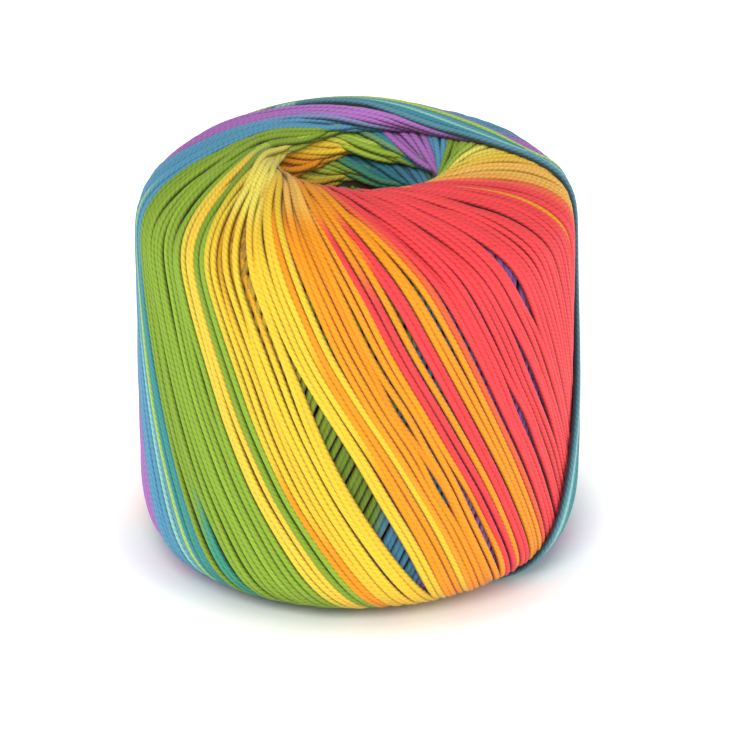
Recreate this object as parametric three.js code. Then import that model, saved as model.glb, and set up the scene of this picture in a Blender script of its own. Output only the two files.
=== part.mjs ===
// A ball of knitting yarn, wound by machine round a mandrel that leaves a bore along its axis.
// Millimetres, +Z up, standing on its lower end with the origin at the middle of the base.
//
// Every turn of yarn runs straight past the edge of the bore at the top, slants down the side, passes
// the edge of the bore at the bottom and climbs the far side again. Each turn lies a little clockwise
// of the one before it. So the newest turns lie highest, and they cover the ends of all older ones.
// The surface is a lattice of diamonds whose sides follow these slanting lines, with every other line
// raised as one main twist.

import * as THREE from 'three';

// Outer form
const HEIGHT = 72.6;
const RADIUS = 37.5;
const FOOT_SPREAD = 0.3;
const CREST_RADIUS = 17.1;
const SHOULDER_HEIGHT = 12.2;
const SHOULDER_POWER = 1.69;
const HEEL_HEIGHT = 12.6;
const HEEL_POWER = 3.2;
const FLAT_RADIUS = 22;

// Winding
const RING_RADIUS = 13.0;
const RING_DROP = 2.6;
const LIP_POWER = 1.3;
const WALL_SLANT = 30;
const LINES = 64;
const LAST_LINE = 30;
const CROWDED_ROWS = 4;

// Relief
const TWIST_DEPTH = 1.3;
const TWIST_UNEVENNESS = 0.35;
const UNEVENNESS_BEAT = 2.4;
const LAYER_STEP = 1.2;
const RING_STEP_DOWN = 4.6;
const RING_STEP_IN = 0.2;
const END_REACH = 12;
const HEEL_FADE = 8;
const LOWEST_ROW = 0.05;

// Bore, from the upper ring to the lower one
const BORE = [
  { height: 59.0, radius: 12.2 },
  { height: 46.0, radius: 11.0 },
  { height: 24.0, radius: 11.0 },
  { height: 9.0, radius: 12.2 },
];

const PROFILE_STEPS = 120;
const SMALLEST = 1e-6;

function smooth(value, low, high) {
  const share = Math.min(1, Math.max(0, (value - low) / (high - low)));
  return share * share * (3 - 2 * share);
}

function modulo(value, base) {
  return ((value % base) + base) % base;
}

// A rounded edge: share 0 is its end on the side wall, share 1 its end on the flat of the ball.
function roundedEdge(share, wall, flat, power) {
  const turn = share * Math.PI / 2;
  const out = Math.cos(turn) ** (2 / power);
  const along = Math.sin(turn) ** (2 / power);
  return { r: flat.r + (wall.r - flat.r) * out, z: wall.z + (flat.z - wall.z) * along };
}

// Half of the ball's section: from the upper ring over the crest, down the side and in to the lower ring.
function sectionPoints() {
  const points = [];
  const shoulder = { r: RADIUS, z: HEIGHT - SHOULDER_HEIGHT };
  const crest = { r: CREST_RADIUS, z: HEIGHT };
  const heel = { r: RADIUS + FOOT_SPREAD, z: HEEL_HEIGHT };
  const flat = { r: FLAT_RADIUS, z: 0 };
  for (let step = 0; step < PROFILE_STEPS; step += 1) {
    const share = step / PROFILE_STEPS;
    const r = RING_RADIUS + (CREST_RADIUS - RING_RADIUS) * share;
    points.push({ r, z: HEIGHT - RING_DROP * (1 - share) ** LIP_POWER });
  }
  for (let step = PROFILE_STEPS; step > 0; step -= 1) {
    points.push(roundedEdge(step / PROFILE_STEPS, shoulder, crest, SHOULDER_POWER));
  }
  for (let step = 0; step < PROFILE_STEPS; step += 1) {
    const share = step / PROFILE_STEPS;
    const z = shoulder.z + (heel.z - shoulder.z) * share;
    points.push({ r: shoulder.r + (heel.r - shoulder.r) * share, z });
  }
  for (let step = 0; step < PROFILE_STEPS; step += 1) {
    points.push(roundedEdge(step / PROFILE_STEPS, heel, flat, HEEL_POWER));
  }
  for (let step = 0; step <= PROFILE_STEPS; step += 1) {
    points.push({ r: FLAT_RADIUS + (RING_RADIUS - FLAT_RADIUS) * step / PROFILE_STEPS, z: 0 });
  }
  return points;
}

// How steeply the yarn crosses the section at radius r: along the ring at the ring itself, as a
// straight line over the end of the ball, and at the wall's slant on the side.
function slantSine(r) {
  const straight = RING_RADIUS / r;
  const extra = Math.sin(THREE.MathUtils.degToRad(WALL_SLANT)) - RING_RADIUS / RADIUS;
  return Math.min(1, straight + extra * smooth(r, CREST_RADIUS, RADIUS));
}

// Adds to each point the angle, in degrees, by which a turn has gone round the axis there. It is -90
// at the upper ring, 0 half way down the side and 90 at the lower ring.
function addLayAngles(points) {
  const middle = (HEIGHT - SHOULDER_HEIGHT + HEEL_HEIGHT) / 2;
  let angle = 0;
  points[0].angle = 0;
  for (let index = 1; index < points.length; index += 1) {
    const from = points[index - 1];
    const to = points[index];
    const length = Math.hypot(to.r - from.r, to.z - from.z);
    const sine = slantSine((from.r + to.r) / 2);
    const sweep = length * sine / Math.sqrt(Math.max(SMALLEST, 1 - sine * sine)) / ((from.r + to.r) / 2);
    angle += sweep;
    to.angle = angle;
  }
  const half = points.find((point) => point.r >= RADIUS && point.z <= middle).angle;
  for (const point of points) {
    const upper = point.angle <= half;
    point.angle = upper ? 90 * (point.angle / half - 1) : 90 * (point.angle - half) / (angle - half);
  }
  return points;
}

// The section's point, and its outward normal, where the turns have the given angle.
function sectionAt(points, angle) {
  const next = Math.max(1, points.findIndex((point) => point.angle >= angle));
  const from = points[next - 1];
  const to = points[next];
  const share = (angle - from.angle) / (to.angle - from.angle);
  const length = Math.hypot(to.r - from.r, to.z - from.z);
  return {
    r: from.r + (to.r - from.r) * share,
    z: from.z + (to.z - from.z) * share,
    normalR: (from.z - to.z) / length,
    normalZ: (to.r - from.r) / length,
  };
}

// The two lay lines that cross at a lattice point, and which of them belongs to the newer turn.
// Age counts lines back from the last turn that was wound.
function topLine(row, step) {
  const falling = (step - row) / 2;
  const rising = (step + row) / 2;
  const fallingAge = modulo(falling - LAST_LINE, LINES);
  const risingAge = modulo(rising - LAST_LINE - LINES / 2, LINES);
  if (fallingAge <= risingAge) {
    return { line: falling, age: fallingAge / LINES };
  }
  return { line: rising, age: risingAge / LINES };
}

// Every other line is sunk, so that the ones between stand out as twists. The furrows get shallower
// where the lines crowd together at the ends, and they are uneven, as between real turns.
function furrowHeight(line, point) {
  const sine = slantSine(point.r);
  const room = Math.sqrt(Math.max(0, 1 - sine * sine)) * point.r / RADIUS;
  const uneven = 1 - TWIST_UNEVENNESS * (0.5 + 0.5 * Math.sin(line * UNEVENNESS_BEAT));
  return modulo(line, 2) === 0 ? 0 : -TWIST_DEPTH * uneven * Math.min(1, room);
}

// One row of lattice points. Even rows start at azimuth 0 and odd rows half a step further on.
function latticeRow(points, row) {
  const point = sectionAt(points, 180 * row / LINES);
  const atEnd = row < 0 ? 1 - smooth(point.r, RING_RADIUS, RING_RADIUS + END_REACH) : 0;
  const fade = smooth(point.z, 0, HEEL_FADE);
  const shifted = modulo(row, 2);
  const vertices = [];
  for (let count = 0; count < LINES; count += 1) {
    const step = 2 * count + shifted;
    const { line, age } = topLine(row, step);
    const out = fade * (furrowHeight(line, point) - (1 - atEnd) * LAYER_STEP * 2 * age);
    const r = point.r + point.normalR * out - atEnd * RING_STEP_IN * age;
    const z = point.z + point.normalZ * out - atEnd * RING_STEP_DOWN * age;
    const azimuth = Math.PI * step / LINES;
    vertices.push([r * Math.cos(azimuth), r * Math.sin(azimuth), Math.max(0, z)]);
  }
  return { shifted, vertices };
}

// A plain row of the bore's wall.
function boreRow({ height, radius }) {
  const vertices = [];
  for (let count = 0; count < LINES; count += 1) {
    const azimuth = 2 * Math.PI * count / LINES;
    vertices.push([radius * Math.cos(azimuth), radius * Math.sin(azimuth), height]);
  }
  return { shifted: 0, vertices };
}

// All rows in order: down the outside from the upper ring to the lower, then up the bore. The rows
// that crowd against the upper ring, and those within the flat foot, are passed over.
function ballRows() {
  const points = addLayAngles(sectionPoints());
  const last = LINES / 2;
  const rows = [latticeRow(points, -last)];
  for (let row = CROWDED_ROWS + 1 - last; row < last; row += 1) {
    if (sectionAt(points, 180 * row / LINES).z > LOWEST_ROW) {
      rows.push(latticeRow(points, row));
    }
  }
  rows.push(boreRow({ height: 0, radius: FLAT_RADIUS }));
  rows.push(boreRow({ height: 0, radius: RING_RADIUS }));
  for (const level of [...BORE].reverse()) {
    rows.push(boreRow(level));
  }
  return rows;
}

// Joins each row to the next, and the last to the first, so that the skin closes on itself.
function ballGeometry() {
  const rows = ballRows();
  const positions = [];
  const indices = [];
  for (const row of rows) {
    positions.push(...row.vertices.flat());
  }
  for (let index = 0; index < rows.length; index += 1) {
    const below = (index + 1) % rows.length;
    const lead = rows[index].shifted && !rows[below].shifted ? 1 : 0;
    for (let count = 0; count < LINES; count += 1) {
      const here = index * LINES + count;
      const hereNext = index * LINES + (count + 1) % LINES;
      const there = below * LINES + (count + lead) % LINES;
      const thereNext = below * LINES + (count + lead + 1) % LINES;
      indices.push(here, there, hereNext);
      indices.push(hereNext, there, thereNext);
    }
  }
  const geometry = new THREE.BufferGeometry();
  geometry.setAttribute('position', new THREE.Float32BufferAttribute(positions, 3));
  geometry.setIndex(indices);
  geometry.computeVertexNormals();
  return geometry;
}

const yarn = new THREE.MeshStandardMaterial({ color: 0xf5a73a, roughness: 0.85, metalness: 0 });

const ball = new THREE.Mesh(ballGeometry(), yarn);
ball.name = 'wound_ball';

const model = new THREE.Group();
model.add(ball);

export default model;
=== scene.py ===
"""A machine-wound ball of variegated cotton knitting yarn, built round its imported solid.

One long yarn is laid turn by turn. A turn passes straight over the upper end beside the bore, falls
slanting down the side, passes the bore at the lower end and rises again on the far side. Seen from
above, each turn lies a little clockwise of the one before it. A turn's age is how far the winder has
gone round since, in degrees. A lay angle says how far along its way down or up a turn is: -90 at the
upper mouth of the bore, 0 half way along the side and 90 at the lower mouth. Lengths are in
millimetres until a mesh is made.
"""

import math

import bpy
import numpy as np
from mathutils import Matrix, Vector


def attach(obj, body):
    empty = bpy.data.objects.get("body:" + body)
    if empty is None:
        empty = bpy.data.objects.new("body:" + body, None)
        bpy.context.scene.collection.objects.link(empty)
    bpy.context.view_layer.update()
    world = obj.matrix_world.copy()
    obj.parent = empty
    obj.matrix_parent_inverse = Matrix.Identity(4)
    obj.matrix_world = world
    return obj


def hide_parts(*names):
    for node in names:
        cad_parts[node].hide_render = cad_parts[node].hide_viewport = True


MM = 0.001
SEED = 7
TINY = 1e-12

# Outer form, as in the solid
HEIGHT = 72.6
RADIUS = 37.5
FOOT_SPREAD = 0.3
CREST_RADIUS = 17.1
SHOULDER_HEIGHT = 12.2
SHOULDER_POWER = 1.69
HEEL_HEIGHT = 12.6
HEEL_POWER = 3.2
FLAT_RADIUS = 22.0
RING_RADIUS = 13.0
RING_DROP = 2.6
LIP_POWER = 1.3
WALL_SLANT = 30.0
SECTION_STEPS = 240
LEAST_COSINE_SQUARED = 1e-6

# Yarn
YARN = 1.24
FLATTENED = 0.93
PLIES = 4
PLY_LAY = 4.2
SIDES = 8
STEP_LENGTH = 2.0
EASING_ROUNDS = 5
BAND_EASING_ROUNDS = 9

# Turns, by their ages in degrees
TURNS_PER_ROUND = 168
AGE_STEP = 360.0 / TURNS_PER_ROUND
FIRST_AGE = -17.0
LAST_AGE = 402.0
TURNS_PER_PIECE = 14
TIER_LAST_AGE = 1700.0
TIER_REACH = 44.0
SPARE_TURNS = 3

# Where the newest even turn falls, and how far the rest of its way runs ahead of an even winding
LAST_LINE = 168.75
LEAD = 22.0
FALLING_LEAD_ANGLES = (30, 90)
RISING_LEAD_ANGLES = (-44, 0)
NEWEST_LEAD = 7.0
NEWEST_LEAD_AGES = (-2, 70)
NEWEST_LEAD_ANGLES = (-60, -15, 0, 30)

# Layers: how far older turns lie below newer ones on the side and at the two mouths
LAYER = 1.2
RING_STEP_DOWN = 4.6
RING_STEP_IN = 0.2
FOOT_STEP_UP = 3.0
END_REACH = 12.0
CROSSING_REACH = 22
TOP_SETTLE = 0.15
TOP_SETTLE_ANGLES = (10, 55)
FLOOR_SOFTNESS = 0.35

# How far from the axis turns pass the mouths, spread by an even scatter. Each tier juts over the next.
MOUTH_SPREAD = 0.7
MOUTH_SCATTER = {"start": 5, "base": 3}
MOUTH_REACH = (30, 72)
FOOT_SPREAD_OF_TURNS = 4.5
FOOT_SCATTER = {"start": 11, "base": 3}
FOOT_REACH = (30, 66)
TIER_RECESS = 1.3
TIER_RECESS_AGES = (-20, 8, 25, 70)

# Crowded turns sink below their neighbours near the mouths, all but a few raised ones
SINK_SCATTER = {"start": 3, "base": 2}
SINK_DEPTH = 0.85 * YARN
SINK_RATE = 1.4
SINK_START = 0.9
LEAST_ROOM = 4.0
RAISED_RANK = 0.02
RAISED_TURNS = [38, 39, 98, 99]

# The newest turns lie in a band well behind the bore, and the next ones in a ledge in front of it
BAND_TURNS = 8
BAND_CLEARANCE = 15.5
BAND_CLEARANCE_STEP = 1.12
BAND_LIFT = 0.12
LIME_TURN = 5
LIME_LIFT = 0.15
LEDGE_END = 15
LEDGE_CLEARANCE = 15.1
LEDGE_CLEARANCE_STEP = 0.15
ALTERNATE_TURNS = slice(9, 23, 2)
ALTERNATE_SINK = 0.38
UPPER_ANGLES = (-60, -25)
TUCK = 0.9
TUCK_AGES = (-2, 1, 20, 60)
TUCK_ANGLES = (-90, -78, -50, -30)

# Unevenness from turn to turn and along a turn, sideways in degrees and outward in millimetres
SHIFT = 0.16
SHADE_SPREAD = 0.045
WAVES = [
    {"beat": 2.2, "sideways": 0.18},
    {"beat": 4.7, "sideways": 0.20},
    {"beat": 9.1, "sideways": 0.14},
]
OUTWARD_WAVE = 0.055
OUTWARD_BEAT = 1.3
SWAY = 0.35
SWAY_AGE_BEAT = 7.1
SWAY_ANGLE_BEAT = 4
SWAY_LEAN = 2.3
PASS_OVER_ANGLES = (20, 90)

# How far turns lie aside from an even winding, in degrees round the axis, falling side. There is a
# row for each age and a column for each lay angle.
DRIFT_ANGLES = [-90, -80, -70, -60, -50, -40, -30, -25, -20, -10, 0, 10, 20, 27, 60, 90]
DRIFT = {
    -17: [-8, -8, -8, -8, -8, -6, -4, -3, -2, 0, 0, 0, 0, 0, 0, 0],
    -10: [-15, -15, -15, -14, -12, -9, -6, -4, -3, -1, 0, 0, 0, 0, 0, 0],
    -2: [-22, -22, -22, -20, -16, -12, -8, -6, -4, -1, 0, 0, 0, 0, 0, 0],
    0: [-22, -21, -20, -14, -4, 2, 6, 5, 2, 0, 0, 0, 0, 0, 0, 0],
    6: [-14, -14, -14, -9, 4, 8, 12, 9, 3, 0, 0, 0, 0, 0, 0, 0],
    13: [-5, -6, -8, -3, 13, 14, 18, 14, 4, 0, 0, 0, 0, 0, 0, 0],
    38.5: [-4, -2, 2, 0, 8.5, 12.5, 10, 7, 4.5, 1.5, 0, -1, -0.5, 0.5, 0, 0],
    66: [-4, -3, -6, -4, 8, 11, 8.5, 6, 4, 1.5, 0, 0, 3.5, 7, 4, 0],
    75: [-2, -1, -4, -4, 6, 9, 7, 5, 3, 1, 0, 0, 3, 5, 3, 0],
    93: [2, 3, 0, -2, 3, 3, 2, 1, 1, 0, 0, 0, 1.5, 2.5, 1, 0],
    103: [4, 6, 2, -2, 2, -1, -1.5, -1, 0, -1, 0.5, 1.5, 1.5, 1, 0, 0],
    125: [0, 0, -3, -5, -6, -5, -3.5, -2.5, -2, -1.5, 0, 0.5, 0, -1, 0, 0],
    139: [0, 0, -4, -6, -8, -9, -5, -3.5, -2.5, -1, 0, 0.5, 0.5, 0, 0, 0],
    160: [0, 0, -4, -7, -10, -9, -5, -3.5, -2.5, -0.5, 0.5, 2.5, 4, 4, 1, 0],
    195: [0, 0, -4, -9, -11, -9, -1.5, 0, -1, 0, 1, 2, 3, 3, 1, 0],
    240: [0, 0, 0, 0, 0, 0, 0, 0, 0, 0, 0, 0, 0, 0, 0, 0],
}

# Slits between turns on the falling side, open round a middle lay angle. With a width below 0 the
# turns are drawn together.
SLIT_OPEN_SHARE = 0.2
SLITS = [
    {"age": 93.7, "width": 5.6, "middle": 10, "reach": 20, "spread": 13},
    {"age": 162.6, "width": 2.7, "middle": -16, "reach": 9, "spread": 4},
    {"age": 155.6, "width": 2.6, "middle": 0, "reach": 12, "spread": 4},
    {"age": 117.9, "width": 2.5, "middle": 16, "reach": 13, "spread": 4},
    {"age": 147.2, "width": 2.9, "middle": 2, "reach": 4, "spread": 3},
    {"age": 113.6, "width": 3.1, "middle": -2, "reach": 4, "spread": 3},
    {"age": 111.4, "width": 2.8, "middle": 9, "reach": 4, "spread": 3},
    {"age": 127.6, "width": 0.8, "middle": -13, "reach": 12, "spread": 4},
    {"age": 77.6, "width": 2.6, "middle": -31, "reach": 9, "spread": 3},
    {"age": 80.2, "width": 2.2, "middle": -17, "reach": 10, "spread": 3},
    {"age": 84.4, "width": 3.0, "middle": -26, "reach": 13, "spread": 3},
    {"age": 88.6, "width": 3.0, "middle": -20, "reach": 12, "spread": 3},
    {"age": 96.4, "width": 2.0, "middle": -27, "reach": 9, "spread": 3},
    {"age": 69.6, "width": 1.9, "middle": -31, "reach": 8, "spread": 3},
    {"age": 60.5, "width": 1.9, "middle": -4, "reach": 8, "spread": 3},
    {"age": 47.0, "width": 1.6, "middle": -22, "reach": 12, "spread": 3},
    {"age": 38.3, "width": 1.2, "middle": 14, "reach": 14, "spread": 4},
    {"age": 43.0, "width": 1.4, "middle": 20, "reach": 7, "spread": 3},
    {"age": 53.6, "width": 1.6, "middle": -14, "reach": 10, "spread": 3},
    {"age": 81.4, "width": -1.6, "middle": -6, "reach": 10, "spread": 3},
    {"age": 90.0, "width": -1.4, "middle": -10, "reach": 8, "spread": 3},
    {"age": 107.0, "width": 1.9, "middle": -32, "reach": 8, "spread": 3},
    {"age": 172.0, "width": 1.6, "middle": -22, "reach": 9, "spread": 3},
]

# Places where a turn of the falling side dips below its neighbours
DIP_FULL_SHARE = 0.3
DIP_AGES = 0.9
DIPS = [
    {"age": 73.0, "middle": -33, "reach": 9, "depth": 0.8},
    {"age": 79.2, "middle": -25, "reach": 15, "depth": 1.1},
    {"age": 83.5, "middle": -24, "reach": 16, "depth": 1.2},
    {"age": 87.8, "middle": -22, "reach": 17, "depth": 1.2},
    {"age": 92.0, "middle": -30, "reach": 12, "depth": 1.1},
    {"age": 96.4, "middle": -33, "reach": 10, "depth": 0.9},
    {"age": 107.0, "middle": -34, "reach": 9, "depth": 0.8},
    {"age": 49.5, "middle": -30, "reach": 12, "depth": 0.7},
    {"age": 60.2, "middle": -27, "reach": 10, "depth": 0.7},
    {"age": 120.0, "middle": 14, "reach": 8, "depth": 0.6},
    {"age": 143.4, "middle": -24, "reach": 10, "depth": 0.7},
    {"age": 154.0, "middle": -28, "reach": 11, "depth": 0.7},
    {"age": 178.0, "middle": -30, "reach": 9, "depth": 0.6},
]

# Dyes, in linear light
DYES = {
    "purple": (0.455, 0.180, 0.550),
    "blue": (0.105, 0.340, 0.510),
    "teal": (0.045, 0.280, 0.350),
    "steel": (0.110, 0.290, 0.370),
    "aqua": (0.320, 0.640, 0.560),
    "sea": (0.055, 0.340, 0.230),
    "lime": (0.430, 0.640, 0.130),
    "green": (0.245, 0.385, 0.030),
    "leaf": (0.295, 0.455, 0.036),
    "spring": (0.500, 0.640, 0.075),
    "yellow": (0.885, 0.590, 0.040),
    "lemon": (0.975, 0.840, 0.135),
    "gold": (0.900, 0.610, 0.058),
    "peach": (0.930, 0.520, 0.090),
    "orange": (0.910, 0.335, 0.010),
    "coral": (0.900, 0.160, 0.060),
    "red": (0.880, 0.063, 0.072),
}

# Dyed lengths of the yarn, by the age of the turn. Past DYE_END the dyes of the last round repeat.
RUNS = [
    (-40, "teal"), (-12, "teal"), (-10, "blue"), (-3, "blue"), (-1, "purple"), (11, "purple"),
    (14, "blue"), (36.6, "blue"), (38.6, "green"), (56, "leaf"),
    (63, "leaf"), (65, "gold"), (69, "gold"), (70.5, "green"), (74, "leaf"), (75.5, "yellow"),
    (101, "yellow"), (103, "orange"), (138, "orange"), (140, "red"), (200, "red"),
    (206, "coral"), (209, "peach"), (222, "peach"), (228, "yellow"), (243, "lemon"),
    (247, "spring"), (258, "leaf"), (271, "green"), (275, "blue"), (291, "blue"),
    (294, "purple"), (322, "purple"), (326, "teal"), (334, "teal"), (338, "green"), (352, "leaf"),
    (366, "spring"), (380, "yellow"), (400, "yellow"), (408, "orange"), (470, "orange"),
    (480, "red"), (540, "red"), (560, "orange"), (600, "yellow"), (640, "leaf"), (664, "blue"),
    (700, "teal"), (712, "sea"), (725, "leaf"), (745, "spring"), (762, "yellow"), (785, "orange"),
]
DYE_ROUND = 360.0
DYE_END = 785.0

# Turns of another shade, from one lay angle to another
STRAYS = [
    {"age": -17.0, "width": 1.0, "from": -99, "to": 99, "yarn_colour": "steel"},
    {"age": -14.9, "width": 1.0, "from": -30, "to": 99, "yarn_colour": "aqua"},
    {"age": -12.7, "width": 1.0, "from": -99, "to": 99, "yarn_colour": "aqua"},
    {"age": -10.6, "width": 1.0, "from": -99, "to": 99, "yarn_colour": "blue"},
    {"age": -8.4, "width": 1.0, "from": -99, "to": 99, "yarn_colour": "sea"},
    {"age": -6.3, "width": 1.0, "from": -99, "to": -16, "yarn_colour": "lime"},
    {"age": -4.1, "width": 1.0, "from": -99, "to": -30, "yarn_colour": "blue"},
    {"age": 25.9, "width": 1.0, "from": -4, "to": 99, "yarn_colour": "aqua"},
    {"age": 30.1, "width": 1.0, "from": -22, "to": 99, "yarn_colour": "lime"},
    {"age": 32.3, "width": 1.0, "from": -16, "to": 99, "yarn_colour": "teal"},
    {"age": 34.4, "width": 1.1, "from": -20, "to": 99, "yarn_colour": "sea"},
    {"age": 36.6, "width": 1.1, "from": -12, "to": 99, "yarn_colour": "teal"},
    {"age": 40.9, "width": 1.0, "from": 17, "to": 99, "yarn_colour": "sea"},
    {"age": 43.0, "width": 1.0, "from": 14, "to": 99, "yarn_colour": "sea"},
    {"age": 66.5, "width": 3.0, "from": -99, "to": -48, "yarn_colour": "spring"},
    # Painted light: lemon on the upper part of these yellow turns, lighter where the top faces the light
    {"age": 86.0, "width": 10.6, "from": -99, "to": -28, "yarn_colour": "lemon"},
    {"age": 108.0, "width": 5.6, "from": -99, "to": -40, "yarn_colour": "gold"},
    {"age": 113.5, "width": 7.4, "from": -99, "to": -31, "yarn_colour": "peach"},
    {"age": 117.5, "width": 3.4, "from": -99, "to": -46, "yarn_colour": "peach"},
    {"age": 75.2, "width": 1.0, "from": 7, "to": 99, "yarn_colour": "orange"},
    {"age": 77.4, "width": 1.0, "from": 14, "to": 99, "yarn_colour": "orange"},
    {"age": 99.6, "width": 1.1, "from": 3, "to": 99, "yarn_colour": "orange"},
    {"age": 101.8, "width": 1.1, "from": -10, "to": 99, "yarn_colour": "orange"},
    {"age": 104.8, "width": 1.0, "from": -99, "to": 99, "yarn_colour": "yellow"},
    {"age": 122.0, "width": 1.1, "from": -29, "to": 99, "yarn_colour": "red"},
    {"age": 124.2, "width": 1.1, "from": -20, "to": 99, "yarn_colour": "red"},
    {"age": 129.2, "width": 1.1, "from": -24, "to": 99, "yarn_colour": "red"},
    {"age": 131.4, "width": 1.1, "from": -31, "to": 99, "yarn_colour": "red"},
    {"age": 193.0, "width": 1.0, "from": -99, "to": -18, "yarn_colour": "orange"},
    {"age": 197.5, "width": 1.0, "from": -99, "to": -26, "yarn_colour": "coral"},
]
STRAY_FADE = 4.0

# Along a turn each change of dye falls a few degrees of age later, or earlier on the upper rising side
LOWER_LAG = 6.0
LOWER_LAG_ANGLES = (30, 90)
UPPER_LAG = -7.0
UPPER_LAG_ANGLES = (-60, -20)
RISING_LAG_ANGLES = (-8, 20)

# Painted shade: the side a little deeper and darker than the top, and darker where less light reaches the
# yarn
PAINTED_SIDE_SHADE = 0.08
PAINTED_SIDE_SHADE_ANGLES = (-50, -15)
DEEP_SHADE = 0.5
DEEP_AGES = (330.0, 1000.0)
DEEP_ANGLES = (46, 60)
FOOT_SHADE = 0.22
FOOT_SHADE_ANGLES = (21, 31)
DIP_SHADE = (0.06, 0.24, 0.32)
COVERED_SHADE = 0.46
COVERED_AGES = (14, 40)
COVERED_ANGLES = (40, 54)

# Core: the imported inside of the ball, with faint ridges for its turns
CORE_SIDES = 168
CORE_ROWS = 64
CORE_ROWS_USED = slice(4, -3)
CORE_DEPTH = 3.3
CORE_LOWEST = 1.6
CORE_BORE = [
    {"radius": 11.6, "height": 4.0},
    {"radius": 11.6, "height": 14.0},
    {"radius": 11.2, "height": 26.0},
    {"radius": 11.6, "height": 44.0},
    {"radius": 13.6, "height": 49.5},
    {"radius": 14.6, "height": 58.0},
]
CORE_LEAN = 2.4
CORE_RIDGES = 84
CORE_RIDGE_LEAN = 9
CORE_RIDGE_HEIGHT = 0.22
CORE_AGE = 200
CORE_AGE_LEAN = 40
# Painted shade: the core's dye darkened, and the bore's darker still
CORE_SHADE = 0.24
BORE_SHADE = 0.6
CORE_YARN_MEASURE = (240.0, 60.0)

# Margins round each strip of the map that the looks are baked to
STRIP_END_MARGIN = 0.004
STRIP_SIDE_MARGIN = 0.06

# Yarn's look: its surface, painted shade in the plies' grooves, fine fibres and painted shade on the
# flanks
COTTON = {
    "Roughness": 0.62,
    "Specular IOR Level": 0.22,
    "Sheen Weight": 0.12,
    "Sheen Roughness": 0.5,
}
GROOVE_SHADE = (0.94, 1.02)
STREAK = (0.88, 1.12)
FIBRE_ALONG = 2.5
FIBRE_ACROSS = 9.0
FIBRE_DETAIL = 2.0
FIBRE_RELIEF = 0.35
FLANK = (0.26, 1.0)
FLANK_REACH = (-0.12, 0.88)
FLANK_NOTCH = 0.4
FLANK_DROP = 0.3
BUMP_STRENGTH = 0.5
BUMP_DISTANCE = 0.00005

# Camera
CAMERA_DISTANCE = 600.0
CAMERA_RISE = 24.0
CAMERA_HEIGHT = 36.6
CAMERA_AIM = (1.02, 0.0, 31.7)
LENS = 174.3
SENSOR_WIDTH = 36.0

# Studio, in metres and watts, with the nearest distance that the camera sees
CLIP_START = 0.01
WHITE = (1.0, 1.0, 1.0, 1.0)
WORLD_STRENGTH = 0.27
LIGHT_AIM = (0, 0, 0.03)
LIGHTS = [
    {"name": "key", "place": (-0.15, -0.72, 0.72), "size": 0.6, "power": 6.0},
    {"name": "fill", "place": (0.65, -0.50, 0.45), "size": 0.5, "power": 2.4},
    {"name": "side", "place": (-0.80, -0.10, 0.40), "size": 0.5, "power": 1.2},
]
FLOOR_SIZE = 8.0
FLOOR = {
    "Base Color": (0.93, 0.93, 0.935, 1),
    "Roughness": 0.9,
    "Specular IOR Level": 0.1,
    "Emission Color": WHITE,
}
# Painted glow of the floor, faint close to the ball and strong away from it, over these distances in
# metres
FLOOR_GLOW = (0.03, 0.72)
FLOOR_GLOW_REACH = (0.034, 0.051)


def smooth(value, low, high):
    share = np.clip((value - low) / (high - low), 0.0, 1.0)
    return share * share * (3.0 - 2.0 * share)


def window(value, start, full, fade, end):
    """Rises from 0 at start to 1 at full, and falls from 1 at fade to 0 at end."""
    return smooth(value, start, full) * (1 - smooth(value, fade, end))


def scatter(turn, start, base):
    """A number between 0 and 1 for each turn, scattered evenly over many turns."""
    value = 0.0
    share = 1.0
    index = turn + start
    while index > 0:
        share /= base
        value += share * (index % base)
        index //= base
    return value


def rounded_edge(share, wall, flat, power):
    """Share 0 is the edge's end on the side wall, share 1 its end on the flat of the ball."""
    turn = share * np.pi / 2
    out = np.maximum(np.cos(turn), 0.0) ** (2 / power)
    along = np.maximum(np.sin(turn), 0.0) ** (2 / power)
    return np.stack([flat[0] + (wall[0] - flat[0]) * out, wall[1] + (flat[1] - wall[1]) * along], 1)


def section_points():
    rising = np.arange(SECTION_STEPS) / SECTION_STEPS
    falling = np.arange(SECTION_STEPS, 0, -1) / SECTION_STEPS
    shoulder = (RADIUS, HEIGHT - SHOULDER_HEIGHT)
    heel = (RADIUS + FOOT_SPREAD, HEEL_HEIGHT)
    lip_r = RING_RADIUS + (CREST_RADIUS - RING_RADIUS) * rising
    lip = np.stack([lip_r, HEIGHT - RING_DROP * (1 - rising) ** LIP_POWER], 1)
    wall = np.stack([shoulder[0] + (heel[0] - shoulder[0]) * rising,
                     shoulder[1] + (heel[1] - shoulder[1]) * rising], 1)
    close = np.append(rising, 1.0)
    flat = np.stack([FLAT_RADIUS + (RING_RADIUS - FLAT_RADIUS) * close, 0 * close], 1)
    return np.concatenate([
        lip,
        rounded_edge(falling, shoulder, (CREST_RADIUS, HEIGHT), SHOULDER_POWER),
        wall,
        rounded_edge(rising, heel, (FLAT_RADIUS, 0.0), HEEL_POWER),
        flat,
    ])


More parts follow.
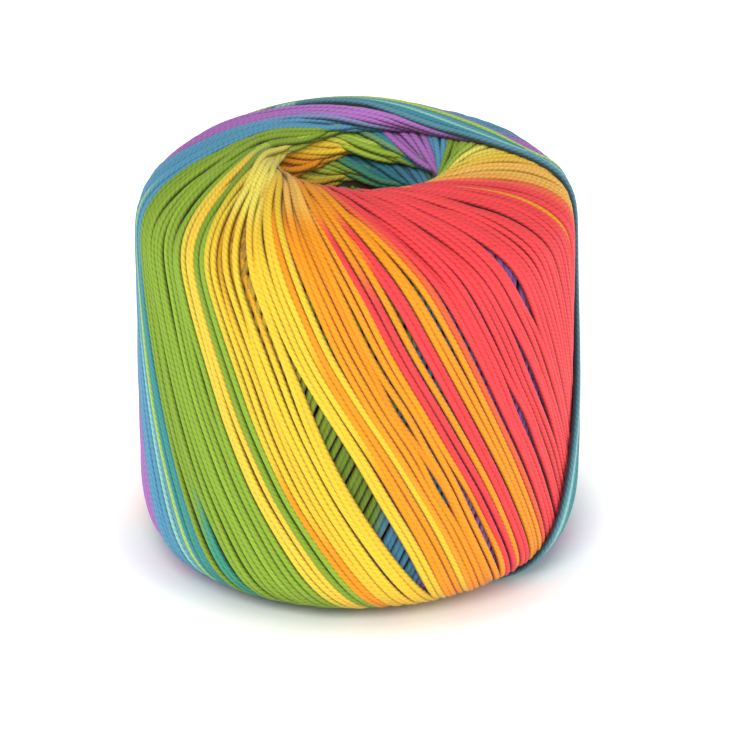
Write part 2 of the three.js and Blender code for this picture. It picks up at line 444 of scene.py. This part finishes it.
class Section:
    """The ball's section from the upper ring to the lower one, by the length run along it."""

    def __init__(self):
        points = section_points()
        step = np.diff(points, axis=0)
        length = np.hypot(step[:, 0], step[:, 1])
        middle_r = (points[1:, 0] + points[:-1, 0]) / 2
        extra = math.sin(math.radians(WALL_SLANT)) - RING_RADIUS / RADIUS
        sine = np.minimum(1.0, RING_RADIUS / middle_r + extra * smooth(middle_r, CREST_RADIUS, RADIUS))
        cosine = np.sqrt(np.maximum(LEAST_COSINE_SQUARED, 1 - sine * sine))
        sweep = np.append(0.0, np.cumsum(length * sine / cosine / middle_r))
        middle_z = (HEIGHT - SHOULDER_HEIGHT + HEEL_HEIGHT) / 2
        half = sweep[np.argmax((points[:, 0] >= RADIUS) & (points[:, 1] <= middle_z))]
        upper = 90 * (sweep / half - 1)
        lower = 90 * (sweep - half) / (sweep[-1] - half)
        slope = np.gradient(points, axis=0)
        slope /= np.linalg.norm(slope, axis=1)[:, None] + TINY
        self.s = np.append(0.0, np.cumsum(length))
        self.r = points[:, 0]
        self.z = points[:, 1]
        self.nr = -slope[:, 1]
        self.nz = slope[:, 0]
        self.angle = np.where(sweep <= half, upper, lower)
        rows = np.arange(len(self.r))
        self.top = (rows < 2 * SECTION_STEPS)
        self.bottom = (rows > 3 * SECTION_STEPS)

    def at(self, s):
        """Radius, height and the two parts of the outward direction."""
        return [np.interp(s, self.s, values) for values in (self.r, self.z, self.nr, self.nz)]

    def lay_angles(self):
        """The lay angles at which a turn gets its points, evenly spaced along the yarn."""
        swing = np.radians(np.diff(self.angle)) * (self.r[1:] + self.r[:-1]) / 2
        run = np.append(0.0, np.cumsum(np.hypot(np.diff(self.s), swing)))
        count = int(round(run[-1] / STEP_LENGTH))
        return np.interp(np.linspace(0.0, run[-1], count + 1), run, self.angle)

    def length_at(self, angle, top_radius, bottom_radius):
        """Where along the section a turn is at a lay angle, if it clears the axis by these radii."""
        s = np.interp(angle, self.angle, self.s)
        radius = np.interp(angle, self.angle, self.r)
        near_top = (1 - smooth(angle + 90, *MOUTH_REACH)) * (angle < 0)
        near_foot = (1 - smooth(90 - angle, *FOOT_REACH)) * (angle > 0)
        top = radius * (1 + (top_radius / RING_RADIUS - 1) * near_top)
        foot = radius * (1 + (bottom_radius / RING_RADIUS - 1) * near_foot)
        upper = (self.top_length(top) - self.top_length(radius)) * (near_top > 0)
        lower = (self.foot_length(foot) - self.foot_length(radius)) * (near_foot > 0)
        return s + upper + lower

    def top_length(self, radius):
        return np.interp(radius, self.r[self.top], self.s[self.top])

    def foot_length(self, radius):
        return np.interp(radius, self.r[self.bottom][::-1], self.s[self.bottom][::-1])


def drift(age, angle):
    """The falling side's drift, between the rows and columns of its table."""
    ages = sorted(DRIFT)
    angle = np.broadcast_to(angle, age.shape)
    rows = np.stack([np.interp(angle, DRIFT_ANGLES, DRIFT[key]) for key in ages])
    place = np.interp(age, ages, np.arange(len(ages)))
    low = np.minimum(place.astype(int), len(ages) - 2)
    share = place - low
    column = np.arange(len(age))
    return rows[low, column] * (1 - share) + rows[low + 1, column] * share


def slit_push(age, angle):
    """How far the slits push a turn aside."""
    push = np.zeros(angle.shape)
    for slit in SLITS:
        gap = age - slit["age"]
        away = np.abs(angle - slit["middle"])
        opened = 1 - smooth(away, SLIT_OPEN_SHARE * slit["reach"], slit["reach"])
        fade = np.exp(-np.abs(gap) / slit["spread"])
        push = push + np.sign(gap) * slit["width"] / 2 * fade * opened
    return push


def dips(age, angle):
    """How far a turn dips below its neighbours."""
    depth = np.zeros(angle.shape)
    for dip in DIPS:
        away = np.abs(angle - dip["middle"])
        within = 1 - smooth(away, DIP_FULL_SHARE * dip["reach"], dip["reach"])
        depth = depth + dip["depth"] * np.exp(-((age - dip["age"]) / DIP_AGES) ** 2) * within
    return depth


def mouth_clearance(turn):
    """How far from the axis a turn passes the upper mouth."""
    tier = (FIRST_AGE + turn * AGE_STEP) % 360
    recess = TIER_RECESS * window(tier, *TIER_RECESS_AGES)
    return RING_RADIUS + MOUTH_SPREAD * scatter(turn, **MOUTH_SCATTER) + recess


def foot_clearance(turn):
    """How far from the axis a turn passes the lower mouth."""
    return RING_RADIUS + FOOT_SPREAD_OF_TURNS * scatter(turn, **FOOT_SCATTER)


class Winding:
    """Everything that differs from turn to turn. Turn 0 is the newest."""

    def __init__(self, section):
        self.section = section
        self.angles = section.lay_angles()
        self.count = int((TIER_LAST_AGE - FIRST_AGE) / AGE_STEP) + SPARE_TURNS
        random = np.random.RandomState(SEED)
        turns = range(self.count)
        self.shift = random.uniform(-SHIFT, SHIFT, self.count) * AGE_STEP
        self.top_radius = np.array([mouth_clearance(turn) for turn in turns])
        self.foot_radius = np.array([foot_clearance(turn) for turn in turns])
        self.sink_rank = np.array([scatter(turn, **SINK_SCATTER) for turn in turns])
        self.shade = random.normal(0.0, SHADE_SPREAD, self.count)
        self.sideways, self.outward = self.wave_tables(random)
        self.set_newest()

    def set_newest(self):
        """The newest turns lie apart: a band that passes well behind the bore, then a ledge."""
        for turn in range(BAND_TURNS):
            self.top_radius[turn] = BAND_CLEARANCE + BAND_CLEARANCE_STEP * turn
        for turn in range(BAND_TURNS, LEDGE_END):
            self.top_radius[turn] = LEDGE_CLEARANCE - LEDGE_CLEARANCE_STEP * (turn - BAND_TURNS)
        self.sink_rank[:LEDGE_END] = RAISED_RANK
        self.sink_rank[RAISED_TURNS] = RAISED_RANK
        upper = (1 - smooth(self.angles, *UPPER_ANGLES))[None, :]
        self.outward[LIME_TURN] += LIME_LIFT
        self.outward[:BAND_TURNS] += BAND_LIFT * upper
        self.outward[ALTERNATE_TURNS] -= ALTERNATE_SINK * upper

    def wave_tables(self, random):
        """Slow waves along each turn: sideways in degrees and outward in millimetres."""
        angle = np.radians(self.angles)[None, :]
        sideways = np.zeros((self.count, len(self.angles)))
        outward = np.zeros((self.count, len(self.angles)))
        for wave in WAVES:
            phase = random.uniform(0, 2 * np.pi, (self.count, 1))
            sideways += wave["sideways"] * np.sin(wave["beat"] * angle + phase)
            phase = random.uniform(0, 2 * np.pi, (self.count, 1))
            outward += OUTWARD_WAVE * np.sin(OUTWARD_BEAT * wave["beat"] * angle + phase)
        return sideways, outward

    def half_turn(self, turn, falling, columns):
        """Points and outward directions of one side of a turn, at some of the lay angles."""
        angle = self.angles[columns]
        if falling:
            progress = (angle + 90) / 360
            blend = 0.5 * smooth(angle, *PASS_OVER_ANGLES)
        else:
            progress = 0.5 + (90 - angle) / 360
            blend = 1 - 0.5 * smooth(angle, *PASS_OVER_ANGLES)
        age = FIRST_AGE + (turn - progress) * AGE_STEP

        def own(values):
            """A turn's own value, passing over to the next newer turn's along its way."""
            first = values[turn]
            return first + (values[max(turn - 1, 0)] - first) * blend

        aside = own(self.shift) + own(self.sideways[:, columns]) + sway(age, angle)
        turned = np.radians(azimuth(age, angle, falling) + aside)
        s = self.section.length_at(angle, own(self.top_radius), own(self.foot_radius))
        r, z, nr, nz = self.section.at(s)
        height = heights(age, angle, falling)
        sink = sinks(r, own(self.sink_rank)) + tucked(age, angle, falling)
        end = 1 - smooth(r, RING_RADIUS, RING_RADIUS + END_REACH)
        share = height / (2 * LAYER)
        offset = (1 - end) * height - sink + own(self.outward[:, columns]) - YARN / 2
        step = np.where(angle < 0, RING_STEP_DOWN, -FOOT_STEP_UP)
        r = r + nr * offset + end * RING_STEP_IN * np.minimum(share, 0)
        z = rest_on_floor(z + nz * offset + end * step * share)
        points = np.stack([r * np.cos(turned), r * np.sin(turned), z], -1)
        normals = np.stack([nr * np.cos(turned), nr * np.sin(turned), nz], -1)
        return points, normals


def azimuth(age, angle, falling):
    """The way round the axis that a turn of this age takes, in degrees."""
    if falling:
        lead = LEAD * smooth(angle, *FALLING_LEAD_ANGLES)
        return LAST_LINE + age + angle + drift(age, angle) + slit_push(age, angle) + lead
    settled = smooth(angle, *RISING_LEAD_ANGLES)
    newest = 1 - smooth(age, *NEWEST_LEAD_AGES)
    lead = LEAD * settled + NEWEST_LEAD * newest * window(angle, *NEWEST_LEAD_ANGLES)
    return LAST_LINE + age + 180 - angle + lead + drift(age, -90.0) * (1 - settled)


def sway(age, angle):
    """Neighbouring turns sway to the side together."""
    across = np.sin(np.radians(SWAY_AGE_BEAT * age))
    return SWAY * across * np.sin(np.radians(SWAY_ANGLE_BEAT * angle + SWAY_LEAN * age))


def heights(age, angle, falling):
    """How far above the even surface the yarn lies. Older turns lie lower, and where two sides of
    the winding cross, the one that was laid later lies on top."""
    settled = smooth(90 - np.abs(angle), 0, CROSSING_REACH)
    crossing = -angle if falling else angle
    sunk = TOP_SETTLE * smooth(-angle, *TOP_SETTLE_ANGLES)
    return (-age + crossing * settled) / 360 * 2 * LAYER - sunk


def sinks(r, rank):
    """Near the bore the turns crowd, and most of them lie below their neighbours."""
    room = np.radians(AGE_STEP) * np.sqrt(np.maximum(r * r - RING_RADIUS ** 2, LEAST_ROOM))
    return SINK_DEPTH * np.clip(SINK_RATE * (rank * YARN / room - SINK_START), 0.0, 1.0)


def tucked(age, angle, falling):
    """How far a turn lies lower for its dips or, on the rising side, to pass under the newest band."""
    if falling:
        return dips(age, angle)
    return TUCK * window(age, *TUCK_AGES) * window(angle, *TUCK_ANGLES)


def rest_on_floor(z):
    """The lowest turns are pressed flat where the ball stands."""
    low = YARN / 2
    return low + FLOOR_SOFTNESS * np.logaddexp(0.0, (z - low) / FLOOR_SOFTNESS)


def dye_at(age, angle=0.0, lag=0.0):
    """The yarn's colour, in linear light, where a turn has the given age."""
    age = age + 0 * angle
    turned = np.where(age >= DYE_END, DYE_END - DYE_ROUND + np.mod(age - DYE_END, DYE_ROUND), age)
    laid = np.maximum(turned - lag, FIRST_AGE - AGE_STEP)
    ages = [stop[0] for stop in RUNS]
    colour = np.stack([np.interp(laid, ages, [DYES[stop[1]][band] for stop in RUNS])
                       for band in range(3)], -1)
    for stray in STRAYS:
        started = smooth(angle, stray["from"] - STRAY_FADE, stray["from"] + STRAY_FADE)
        ended = smooth(angle, stray["to"] - STRAY_FADE, stray["to"] + STRAY_FADE)
        near = (np.abs(turned - stray["age"]) < stray["width"]) * started * (1 - ended)
        colour = colour + (np.array(DYES[stray["yarn_colour"]]) - colour) * near[..., None]
    return colour


def covered(age, angle, falling):
    """How surely newer turns that slant the other way cover a turn, away from the two ends."""
    past = age - 180 + 2 * angle * (1 if falling else -1)
    return smooth(past, *COVERED_AGES) * (1 - smooth(np.abs(angle), *COVERED_ANGLES))


def shades(age, angle, falling):
    """How much light is left on a turn, as painted shade: less deep in the mouths, by the foot and under
    other turns.
    """
    left = 1 - DEEP_SHADE * smooth(age, *DEEP_AGES) * smooth(np.abs(angle), *DEEP_ANGLES)
    left = left * (1 - FOOT_SHADE * smooth(angle, *FOOT_SHADE_ANGLES))
    return left * (1 - COVERED_SHADE * covered(age, angle, falling))


def colours_along(winding, turn, falling):
    """The colour at each point of a half turn: the dye, a little lighter or darker from turn to turn,
    with painted shade.
    """
    dyed = turn if falling else max(turn - 1, 0)
    age = FIRST_AGE + dyed * AGE_STEP
    angle = winding.angles
    if falling:
        lag = LOWER_LAG * smooth(angle, *LOWER_LAG_ANGLES)
    else:
        lower = (LOWER_LAG - UPPER_LAG) * smooth(angle, *RISING_LAG_ANGLES)
        lag = UPPER_LAG * smooth(angle, *UPPER_LAG_ANGLES) + lower
    # Painted shade: the side a little deeper and darker than the top, which takes more light
    side_shade = PAINTED_SIDE_SHADE * smooth(angle, *PAINTED_SIDE_SHADE_ANGLES)
    colour = dye_at(age, angle, lag) ** (1 + side_shade)[:, None]
    # Painted shade on the falling side, where a turn dips below its neighbours
    if falling:
        colour = colour * (1 - dips(age, angle)[:, None] * np.array(DIP_SHADE))
    # Random tone from turn to turn, times the painted shade
    light = (1 + winding.shade[dyed]) * shades(age, angle, falling)
    return np.clip(colour * light[:, None], 0.0, 1.0)


def side_of_turn(winding, turn, falling, columns):
    """Points, outward directions and colours of one side of a turn, from its upper end."""
    points, normals = winding.half_turn(turn, falling, columns)
    return points, normals, colours_along(winding, turn, falling)[columns]


def backwards(run):
    return [values[::-1] for values in run]


def joined(first, second):
    """Two stretches of yarn as one run. The second starts at the first one's last point."""
    return [np.concatenate([before, after[1:]]) for before, after in zip(first, second)]


def whole_turns(winding, turns):
    """One unbroken run of yarn through the given turns, oldest first. Turn 0 ends under the foot."""
    columns = slice(None)
    run = None
    for turn in sorted(turns, reverse=True):
        falling = side_of_turn(winding, turn, True, columns)
        run = joined(run, falling) if run else falling
        if turn > 0:
            run = joined(run, backwards(side_of_turn(winding, turn, False, columns)))
    points, normals, colours = run
    return eased(points, BAND_EASING_ROUNDS if 0 in turns else EASING_ROUNDS), normals, colours


def eased(points, rounds):
    """Yarn under tension turns no sharp corner."""
    for _ in range(rounds):
        inner = (points[:-2] + 2 * points[1:-1] + points[2:]) / 4
        points = np.concatenate([points[:1], inner, points[-1:]])
    return points


def upper_mouth_run(winding, turn, columns):
    """A short stretch of yarn past the upper mouth: up to the ring, then down."""
    rising = side_of_turn(winding, turn + 1, False, columns)
    return joined(backwards(rising), side_of_turn(winding, turn, True, columns))


def foot_run(winding, turn, columns):
    """A short stretch of yarn past the lower mouth: down to the ring, then up."""
    rising = side_of_turn(winding, turn, False, columns)
    return joined(side_of_turn(winding, turn, True, columns), backwards(rising))


def tube(points, normals, colours):
    """A closed tube round a run of points: vertices, their colours and how far along each ring is."""
    along = np.gradient(points, axis=0)
    along /= np.linalg.norm(along, axis=1)[:, None] + TINY
    up = normals - (normals * along).sum(1)[:, None] * along
    up /= np.linalg.norm(up, axis=1)[:, None] + TINY
    side = np.cross(along, up)
    around = np.pi + 2 * np.pi * np.arange(SIDES) / SIDES
    lift = up[:, None, :] * (np.cos(around) * FLATTENED)[None, :, None]
    wide = side[:, None, :] * np.sin(around)[None, :, None]
    rings = points[:, None, :] + (lift + wide) * YARN / 2
    run = np.append(0.0, np.cumsum(np.linalg.norm(np.diff(points, axis=0), axis=1)))
    painted = np.repeat(colours[:, None, :], SIDES, axis=1)
    return rings.reshape(-1, 3), painted.reshape(-1, 3), run


def tube_faces(rings, first):
    """Side faces, row by row, then the two end faces."""
    row = np.arange(rings - 1)[:, None] * SIDES
    one = np.arange(SIDES)[None, :]
    two = (one + 1) % SIDES
    quads = np.stack([row + one, row + two, row + SIDES + two, row + SIDES + one], -1)
    sides = (quads.reshape(-1, 4) + first).tolist()
    start = (first + np.arange(SIDES)[::-1]).tolist()
    finish = (first + (rings - 1) * SIDES + np.arange(SIDES)).tolist()
    return sides + [start, finish]


def tube_maps(rings, per_strip, strip, strips, run):
    """Corner places in the two maps: one strip for each half turn, and the yarn's own measure."""
    row = np.arange(rings - 1)
    lane = strip + row // per_strip
    local = row % per_strip
    long = 1 - 2 * STRIP_END_MARGIN
    left = STRIP_END_MARGIN + long * local / per_strip
    right = STRIP_END_MARGIN + long * (local + 1) / per_strip
    low = (lane + STRIP_SIDE_MARGIN) / strips
    tall = (1 - 2 * STRIP_SIDE_MARGIN) / strips
    one = np.arange(SIDES) / SIDES
    two = one + 1 / SIDES
    strip_map = np.empty((rings - 1, SIDES, 4, 2))
    yarn_map = np.empty((rings - 1, SIDES, 4, 2))
    for corner, (round_it, edge) in enumerate(((one, left), (two, left), (two, right), (one, right))):
        strip_map[:, :, corner, 0] = edge[:, None]
        strip_map[:, :, corner, 1] = low[:, None] + tall * round_it[None, :]
        place = run[:-1] if corner < 2 else run[1:]
        yarn_map[:, :, corner, 0] = place[:, None]
        yarn_map[:, :, corner, 1] = round_it[None, :]
    caps = np.zeros((2 * SIDES, 2))
    caps[:, 1] = (strip + 0.5) / strips
    cap_yarn = np.zeros((2 * SIDES, 2))
    return (np.concatenate([strip_map.reshape(-1, 2), caps]),
            np.concatenate([yarn_map.reshape(-1, 2), cap_yarn]))


def mesh_object(name, vertices, faces, colours, maps, material):
    mesh = bpy.data.meshes.new(name)
    mesh.from_pydata((vertices * MM).tolist(), [], faces)
    for map_name, places in maps.items():
        layer = mesh.uv_layers.new(name=map_name)
        layer.data.foreach_set("uv", places.astype(np.float32).ravel())
    # The colour attribute holds the dye with painted shade multiplied in
    yarn_colour = mesh.color_attributes.new("yarn_colour", "FLOAT_COLOR", "POINT")
    full = np.concatenate([colours, np.ones((len(colours), 1))], 1)
    yarn_colour.data.foreach_set("color", full.astype(np.float32).ravel())
    mesh.polygons.foreach_set("use_smooth", np.ones(len(mesh.polygons), bool))
    mesh.materials.append(material)
    mesh.update()
    piece = bpy.data.objects.new(name, mesh)
    bpy.context.scene.collection.objects.link(piece)
    return piece


def tubes_object(name, runs, per_strip, material):
    """One mesh of several tubes. Each run is points, outward directions and colours."""
    strips = sum((len(run[0]) - 1 + per_strip - 1) // per_strip for run in runs)
    vertices, colours, faces, strip_maps, yarn_maps = [], [], [], [], []
    first = 0
    strip = 0
    for points, normals, shaded_colours in runs:
        corners, painted, length = tube(points, normals, shaded_colours)
        rings = len(points)
        strip_map, yarn_map = tube_maps(rings, per_strip, strip, strips, length)
        vertices.append(corners)
        colours.append(painted)
        faces += tube_faces(rings, first)
        strip_maps.append(strip_map)
        yarn_maps.append(yarn_map)
        first += rings * SIDES
        strip += (rings - 1 + per_strip - 1) // per_strip
    maps = {"OFBake": np.concatenate(strip_maps), "yarn": np.concatenate(yarn_maps)}
    return mesh_object(name, np.concatenate(vertices), faces, np.concatenate(colours), maps, material)


def core_profile(section):
    """Radius and height of the core's rows, down its outside and up the bore, and the outside's count."""
    s = np.linspace(0, section.s[-1], CORE_ROWS)
    r, z, nr, nz = section.at(s)
    outside = np.stack([r - nr * CORE_DEPTH, np.clip(z - nz * CORE_DEPTH, CORE_LOWEST, None)], 1)
    outside = outside[CORE_ROWS_USED]
    bore = np.array([(level["radius"], level["height"]) for level in CORE_BORE])
    return np.concatenate([outside, bore]), len(outside)


def ring_of_quads(rows, sides):
    """Faces and corner places of a closed grid, whose last row and column join the first ones."""
    row = np.arange(rows)[:, None]
    one = np.arange(sides)[None, :]
    below = (row + 1) % rows
    two = (one + 1) % sides
    quads = np.stack([row * sides + one, below * sides + one, below * sides + two, row * sides + two], -1)
    left = one / sides + 0 * row
    top = row / rows + 0 * one
    right = left + 1 / sides
    bottom = top + 1 / rows
    corners = [(left, top), (left, bottom), (right, bottom), (right, top)]
    places = np.stack([np.stack(corner, -1) for corner in corners], 2)
    return quads.reshape(-1, 4).tolist(), places.reshape(-1, 2)


def core_object(section, material):
    """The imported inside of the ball, seen only through gaps and down the bore."""
    profile, outer_rows = core_profile(section)
    rows = len(profile)
    turn = 2 * np.pi * np.arange(CORE_SIDES) / CORE_SIDES
    lean = np.linspace(0, CORE_LEAN, rows)[:, None]
    ridge = CORE_RIDGE_HEIGHT * np.sin(CORE_RIDGES * turn[None, :] + CORE_RIDGE_LEAN * lean)
    radius = profile[:, :1] + ridge
    height = np.repeat(profile[:, 1:], CORE_SIDES, 1)
    vertices = np.stack([radius * np.cos(turn), radius * np.sin(turn), height], -1).reshape(-1, 3)
    age = np.degrees(turn)[None, :] + CORE_AGE_LEAN * lean + CORE_AGE
    # Painted shade: the core's dye darkened, and the bore's rows darker still
    colours = dye_at(age).reshape(-1, 3) * CORE_SHADE
    colours[outer_rows * CORE_SIDES:] *= BORE_SHADE
    faces, places = ring_of_quads(rows, CORE_SIDES)
    maps = {"OFBake": places, "yarn": places * np.array(CORE_YARN_MEASURE)}
    return mesh_object("yarn_core", vertices, faces, colours, maps, material)


def node(tree, kind, **values):
    made = tree.nodes.new(kind)
    for key, value in values.items():
        setattr(made, key, value)
    return made


def calculate(tree, operation, first, second=None):
    made = node(tree, "ShaderNodeMath", operation=operation)
    for slot, value in enumerate((first, second)):
        if isinstance(value, float):
            made.inputs[slot].default_value = value
        elif value is not None:
            tree.links.new(value, made.inputs[slot])
    return made.outputs[0]


def remap(tree, value, to, reach=(0.0, 1.0)):
    """Takes the range in reach over to the range in to."""
    made = node(tree, "ShaderNodeMapRange")
    made.inputs["From Min"].default_value = reach[0]
    made.inputs["From Max"].default_value = reach[1]
    made.inputs["To Min"].default_value = to[0]
    made.inputs["To Max"].default_value = to[1]
    tree.links.new(value, made.inputs["Value"])
    return made.outputs[0]


def new_material(name, surface):
    """A material with its node tree and shader, and the surface's values set."""
    material = bpy.data.materials.new(name)
    material.use_nodes = True
    shader = material.node_tree.nodes["Principled BSDF"]
    for socket, value in surface.items():
        shader.inputs[socket].default_value = value
    return material, material.node_tree, shader


def fibre_noise(tree, along, phase):
    """Fine streaks that run with the plies."""
    place = node(tree, "ShaderNodeCombineXYZ")
    tree.links.new(calculate(tree, "MULTIPLY", along, FIBRE_ALONG), place.inputs["X"])
    tree.links.new(calculate(tree, "MULTIPLY", phase, FIBRE_ACROSS), place.inputs["Y"])
    noise = node(tree, "ShaderNodeTexNoise")
    noise.inputs["Scale"].default_value = 1.0
    noise.inputs["Detail"].default_value = FIBRE_DETAIL
    tree.links.new(place.outputs[0], noise.inputs["Vector"])
    return noise.outputs[0]


def flank_shade(tree, round_it, lobe):
    """Painted shade on the flanks, where strands lie against each other, notched by the plies."""
    from_top = calculate(tree, "SUBTRACT", round_it, 0.5)
    facing = calculate(tree, "COSINE", calculate(tree, "MULTIPLY", from_top, 2 * math.pi))
    notched = calculate(tree, "ADD", facing, calculate(tree, "MULTIPLY", lobe, FLANK_NOTCH))
    lowered = calculate(tree, "SUBTRACT", notched, FLANK_DROP)
    return remap(tree, lowered, to=FLANK, reach=FLANK_REACH)


def yarn_material():
    """Plied mercerised cotton: dye and painted shade from the mesh, the plies' twist, short fibres and a
    soft sheen.
    """
    material, tree, shader = new_material("plied_cotton", COTTON)
    # The colour attribute: dye with painted shade multiplied in
    yarn_colour = node(tree, "ShaderNodeAttribute", attribute_name="yarn_colour")
    measure = node(tree, "ShaderNodeUVMap", uv_map="yarn")
    split = node(tree, "ShaderNodeSeparateXYZ")
    tree.links.new(measure.outputs["UV"], split.inputs[0])
    along = calculate(tree, "MULTIPLY", split.outputs["X"], PLIES / PLY_LAY)
    round_it = calculate(tree, "MULTIPLY", split.outputs["Y"], float(PLIES))
    phase = calculate(tree, "FRACT", calculate(tree, "ADD", along, round_it))
    rest = calculate(tree, "SUBTRACT", 1.0, phase)
    lobe = calculate(tree, "MULTIPLY", calculate(tree, "MULTIPLY", phase, 4.0), rest)
    fibre = fibre_noise(tree, along, phase)
    # Painted shade in the plies' grooves with a faint painted highlight on their crests, streaks of fibre
    # tone, then painted shade on the flanks
    groove = remap(tree, lobe, to=GROOVE_SHADE)
    streak = remap(tree, fibre, to=STREAK)
    shade = calculate(tree, "MULTIPLY", groove, streak)
    shade = calculate(tree, "MULTIPLY", shade, flank_shade(tree, split.outputs["Y"], lobe))
    tint = node(tree, "ShaderNodeVectorMath", operation="SCALE")
    tree.links.new(yarn_colour.outputs["Color"], tint.inputs[0])
    tree.links.new(shade, tint.inputs["Scale"])
    tree.links.new(tint.outputs[0], shader.inputs["Base Color"])
    bump = node(tree, "ShaderNodeBump")
    bump.inputs["Strength"].default_value = BUMP_STRENGTH
    bump.inputs["Distance"].default_value = BUMP_DISTANCE
    relief = calculate(tree, "ADD", lobe, calculate(tree, "MULTIPLY", fibre, FIBRE_RELIEF))
    tree.links.new(relief, bump.inputs["Height"])
    tree.links.new(bump.outputs[0], shader.inputs["Normal"])
    return material


def floor_material():
    """A pale studio floor with a painted glow, darker close to the ball where the glow fades, and taking
    a shadow there.
    """
    material, tree, shader = new_material("studio_floor", FLOOR)
    place = node(tree, "ShaderNodeTexCoord")
    away = node(tree, "ShaderNodeVectorMath", operation="LENGTH")
    tree.links.new(place.outputs["Object"], away.inputs[0])
    # Painted glow, fading close to the ball
    glow = remap(tree, away.outputs["Value"], to=FLOOR_GLOW, reach=FLOOR_GLOW_REACH)
    tree.links.new(glow, shader.inputs["Emission Strength"])
    return material


def add_camera():
    data = bpy.data.cameras.new("camera")
    data.sensor_width = SENSOR_WIDTH
    data.lens = LENS
    data.clip_start = CLIP_START
    camera = bpy.data.objects.new("camera", data)
    bpy.context.scene.collection.objects.link(camera)
    rise = math.radians(CAMERA_RISE)
    place = Vector((0.0, -math.cos(rise), math.sin(rise))) * CAMERA_DISTANCE * MM
    place.z += CAMERA_HEIGHT * MM
    camera.location = place
    aim = Vector(CAMERA_AIM) * MM
    camera.rotation_euler = (aim - place).to_track_quat("-Z", "Y").to_euler()
    bpy.context.scene.camera = camera


def add_light(name, place, size, power):
    data = bpy.data.lights.new(name, "AREA")
    data.shape = "DISK"
    data.size = size
    data.energy = power
    light = bpy.data.objects.new(name, data)
    bpy.context.scene.collection.objects.link(light)
    light.location = place
    light.rotation_euler = (Vector(LIGHT_AIM) - Vector(place)).to_track_quat("-Z", "Y").to_euler()


def add_floor():
    bpy.ops.mesh.primitive_plane_add(size=FLOOR_SIZE, location=(0, 0, 0))
    floor = bpy.context.object
    floor.name = "studio_floor"
    floor.data.materials.append(floor_material())


def add_studio():
    scene = bpy.context.scene
    scene.view_settings.view_transform = "Standard"
    world = bpy.data.worlds.new("studio")
    scene.world = world
    world.use_nodes = True
    sky = world.node_tree.nodes["Background"]
    sky.inputs["Color"].default_value = WHITE
    sky.inputs["Strength"].default_value = WORLD_STRENGTH
    for light in LIGHTS:
        add_light(**light)
    add_floor()


def whole_turn_pieces(winding, last, cotton):
    """The newest turns, a few in each piece."""
    per_strip = len(winding.angles) - 1
    pieces = []
    for number, start in enumerate(range(0, last, TURNS_PER_PIECE)):
        turns = range(start, min(start + TURNS_PER_PIECE, last))
        run = whole_turns(winding, turns)
        pieces.append(tubes_object(f"yarn_turns_{number + 1:02d}", [run], per_strip, cotton))
    return pieces


def mouth_pieces(winding, last, cotton):
    """Tiers of older turns that line the two mouths of the bore."""
    top = np.where(winding.angles <= -90 + TIER_REACH)[0]
    foot = np.where(winding.angles >= 90 - TIER_REACH)[0]
    tiers = range(last, winding.count - SPARE_TURNS)
    split = len(tiers) // 2
    pieces = []
    for label, turns in (("upper", tiers[:split]), ("inner", tiers[split:])):
        runs = [upper_mouth_run(winding, turn, top) for turn in turns]
        pieces.append(tubes_object(f"mouth_turns_{label}", runs, 2 * len(top) - 2, cotton))
    runs = [foot_run(winding, turn, foot) for turn in tiers[:split]]
    pieces.append(tubes_object("foot_turns", runs, 2 * len(foot) - 2, cotton))
    return pieces


def build_yarn():
    section = Section()
    winding = Winding(section)
    cotton = yarn_material()
    last = int((LAST_AGE - FIRST_AGE) / AGE_STEP)
    pieces = [core_object(section, cotton)]
    pieces += whole_turn_pieces(winding, last, cotton)
    pieces += mouth_pieces(winding, last, cotton)
    return pieces


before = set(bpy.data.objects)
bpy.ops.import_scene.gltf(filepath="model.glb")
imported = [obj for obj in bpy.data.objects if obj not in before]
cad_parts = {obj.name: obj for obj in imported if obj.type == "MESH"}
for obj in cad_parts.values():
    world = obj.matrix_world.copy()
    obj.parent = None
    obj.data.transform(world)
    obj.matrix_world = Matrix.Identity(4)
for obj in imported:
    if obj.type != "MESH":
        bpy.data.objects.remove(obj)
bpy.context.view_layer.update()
add_camera()
add_studio()
for piece in build_yarn():
    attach(piece, "root")
    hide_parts("wound_ball")
